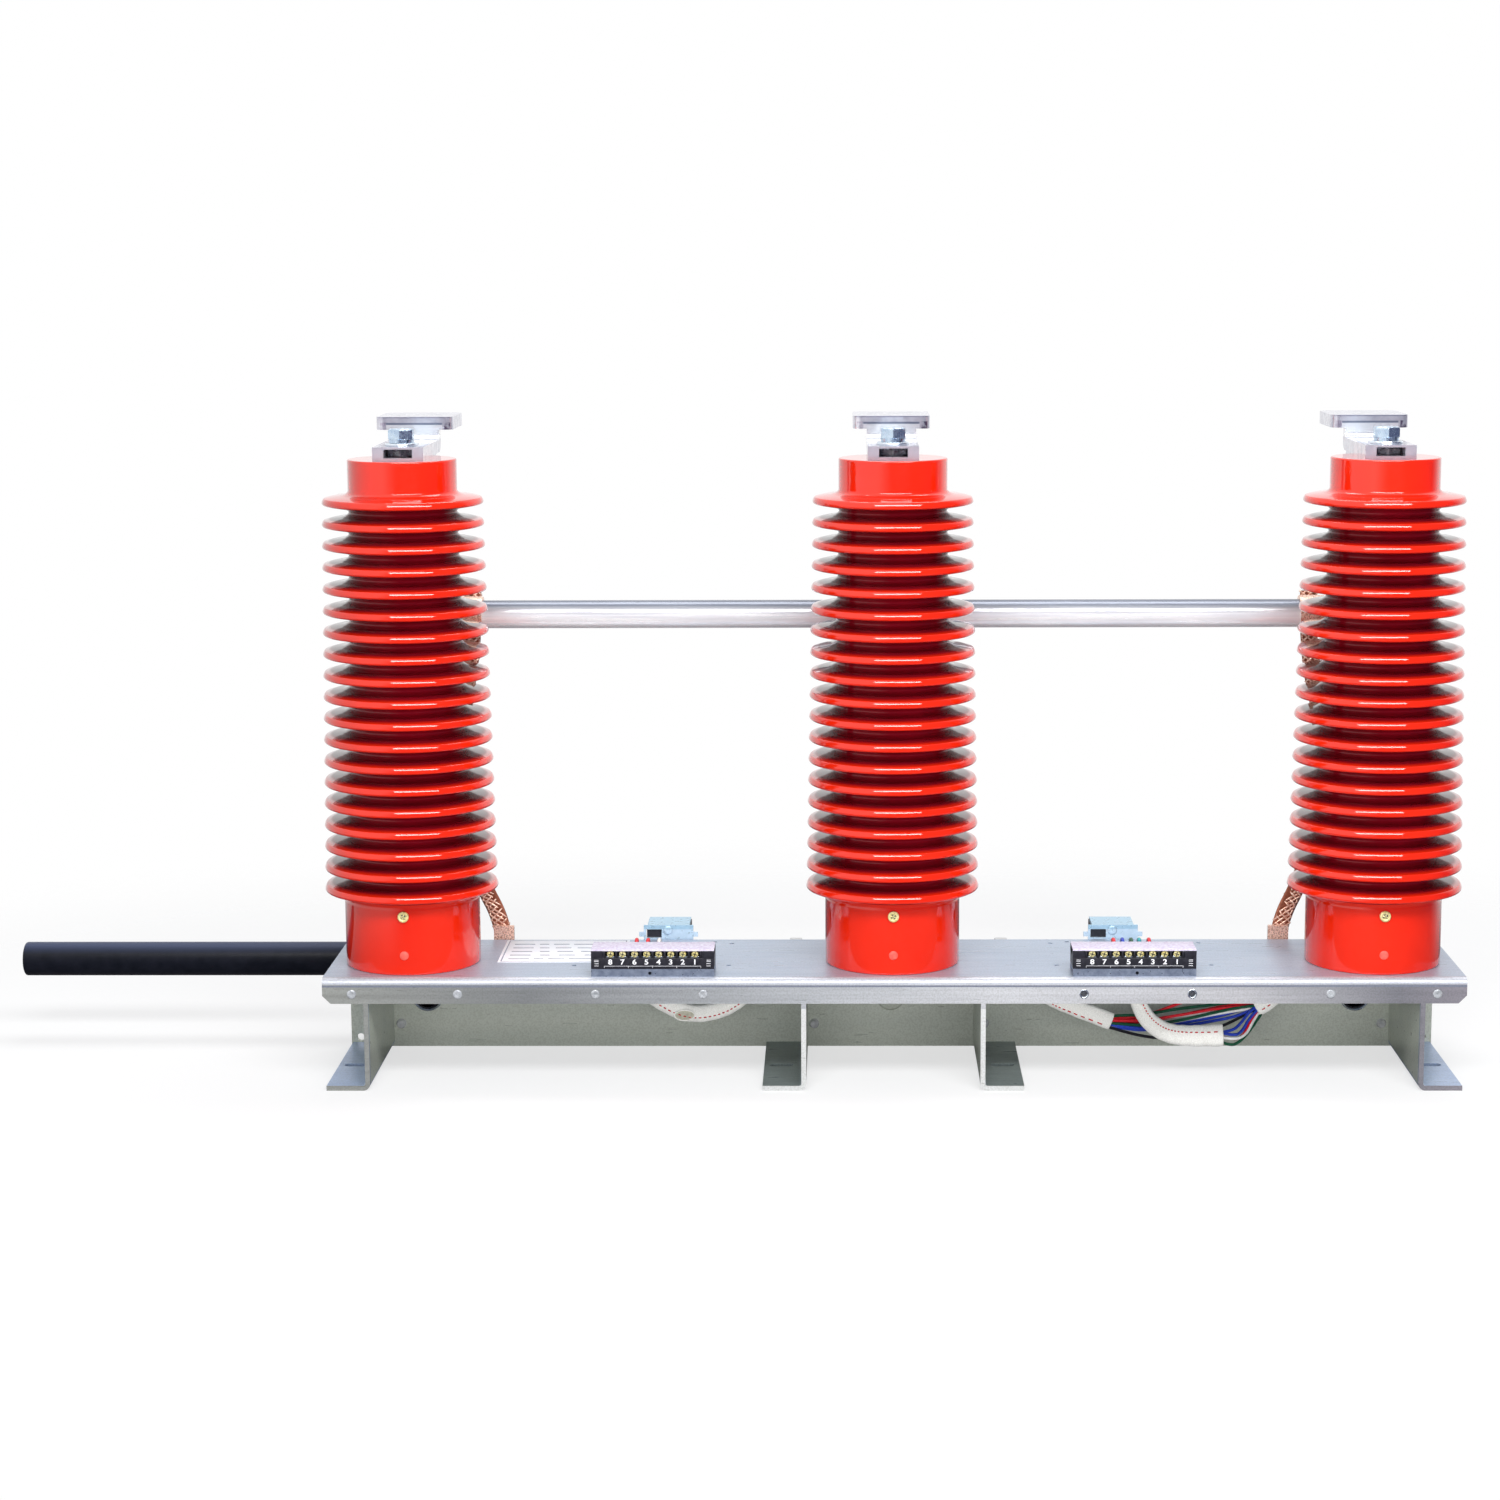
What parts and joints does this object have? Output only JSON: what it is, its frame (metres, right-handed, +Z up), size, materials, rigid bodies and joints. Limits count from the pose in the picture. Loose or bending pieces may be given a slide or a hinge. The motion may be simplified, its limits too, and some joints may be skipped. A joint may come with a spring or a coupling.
{
  "type": "earthing switch",
  "caption": "Indoor earthing switch: ribbed post insulators in a row on a folded channel, and knives on a shaft that swing up behind them to the fixed contacts.",
  "frame": {"origin": "on the floor, under the axis of the middle insulator, in the middle of the fixing slots", "axes": "+X along the row of insulators towards the end without the long shaft, +Y from the front to the knives, +Z up"},
  "size_m": [0.9207, 0.1644, 0.407],
  "materials": {
    "zinc_sheet": "bright zinc plating, slightly streaked",
    "zinc_bracket": "bright zinc plating",
    "zinc_fastener": "bluish zinc plating",
    "red_epoxy": "glossy red-brown cast resin",
    "silver_contact": "polished silver plating over copper",
    "plated_arm": "zinc-plated steel",
    "dark_nut": "dark oxidised steel",
    "brass_screw": "turned brass",
    "black_shaft": "glossy black",
    "bright_tube": "bright drawn tube",
    "copper": "woven and pressed copper",
    "cream_sleeve": "woven cream sleeve",
    "wire": "coloured wire insulation",
    "black_block": "satin black moulding"
  },
  "bodies": {
    "frame": {"aux_switch_left": "black_block", "aux_switch_right": "black_block", "base_bolts": "zinc_fastener", "base_channel": "zinc_sheet", "bearing_bolts": "zinc_fastener", "bearing_inner_left": "zinc_bracket", "bearing_inner_right": "zinc_bracket", "bearing_outer_left": "zinc_bracket", "bearing_outer_right": "zinc_bracket", "braid_left": "copper", "braid_right": "copper", "contact_bolts": "zinc_fastener", "contact_nuts": "dark_nut", "earth_lugs": "copper", "fixed_contact_left": "silver_contact", "fixed_contact_middle": "silver_contact", "fixed_contact_right": "silver_contact", "foot_inner_left": "zinc_sheet", "foot_inner_right": "zinc_sheet", "foot_outer_left": "zinc_sheet", "foot_outer_right": "zinc_sheet", "harness_sleeves": "cream_sleeve", "harness_wires": "wire", "insulator_left": "red_epoxy", "insulator_middle": "red_epoxy", "insulator_right": "red_epoxy", "lug_bolts": "zinc_fastener", "sensor_screws": "brass_screw", "switch_bracket_left": "zinc_bracket", "switch_bracket_right": "zinc_bracket", "terminal_block_left": "black_block", "terminal_block_right": "black_block", "terminal_riser_left": "zinc_sheet", "terminal_riser_right": "zinc_sheet", "terminal_wires": "wire"},
    "knife_frame": {"arm_left": "plated_arm", "arm_middle": "plated_arm", "arm_right": "plated_arm", "blade_bolts": "zinc_fastener", "blades_left": "silver_contact", "blades_middle": "silver_contact", "blades_right": "silver_contact", "braid_clamps": "zinc_bracket", "retaining_rings": "dark_nut", "shaft": "black_shaft", "short_circuit_tube": "bright_tube"}
  },
  "joints": [
    {"name": "knife_swing", "type": "hinge", "parent": "frame", "child": "knife_frame", "pos_m": [0, 0.084, 0.052], "axis": [-1, 0, 0], "range_deg": [0, 75], "deforming": ["braid_left", "braid_right"]}
  ]
}
